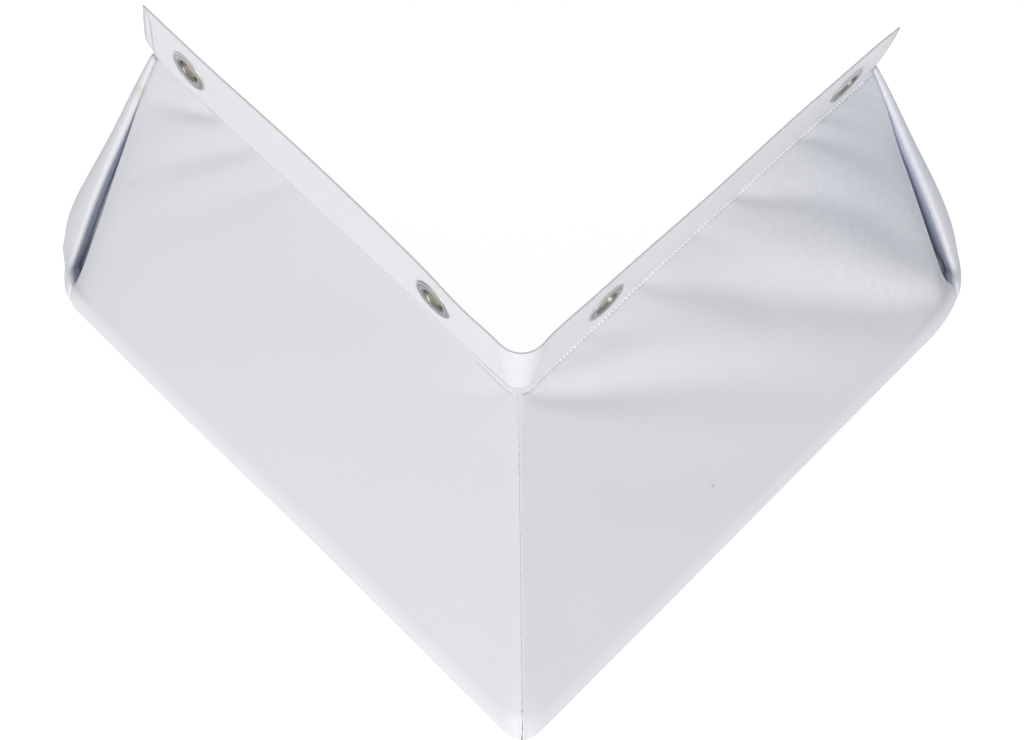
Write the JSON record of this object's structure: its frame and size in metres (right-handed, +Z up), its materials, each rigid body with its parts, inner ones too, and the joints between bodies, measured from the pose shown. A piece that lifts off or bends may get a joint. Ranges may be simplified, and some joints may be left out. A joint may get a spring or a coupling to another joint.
{
  "type": "dock corner bumper",
  "caption": "Padded V-shaped bumper for the outside corner of a dock: mitred foam arms in white vinyl, with flat flanges and metal grommets to screw it on.",
  "frame": {"origin": "on the edge of the dock's corner, at the bumper's mid height", "axes": "+X along the right arm and +Y along the left arm, seen from the water; +Z up; the dock fills x > 0, y > 0"},
  "size_m": [0.4329, 0.4329, 0.292],
  "materials": {
    "vinyl": "white marine vinyl, satin, fine leather grain",
    "back_vinyl": "white marine vinyl, satin, inner side",
    "foam": "closed-cell foam, matt",
    "nickel": "nickel plate, satin"
  },
  "bodies": {
    "root": {"front_cover_left": "vinyl", "front_cover_right": "vinyl", "end_panel_left": "vinyl", "end_panel_right": "vinyl", "upper_flange_strip": "vinyl", "lower_flange_strip": "vinyl", "back_panel": "back_vinyl", "foam_left": "foam", "foam_right": "foam", "eyelet_upper_left_near": "nickel", "washer_upper_left_near": "nickel", "eyelet_upper_left_far": "nickel", "washer_upper_left_far": "nickel", "eyelet_upper_right_near": "nickel", "washer_upper_right_near": "nickel", "eyelet_upper_right_far": "nickel", "washer_upper_right_far": "nickel", "eyelet_lower_left_near": "nickel", "washer_lower_left_near": "nickel", "eyelet_lower_left_far": "nickel", "washer_lower_left_far": "nickel", "eyelet_lower_right_near": "nickel", "washer_lower_right_near": "nickel", "eyelet_lower_right_far": "nickel", "washer_lower_right_far": "nickel"}
  },
  "joints": []
}
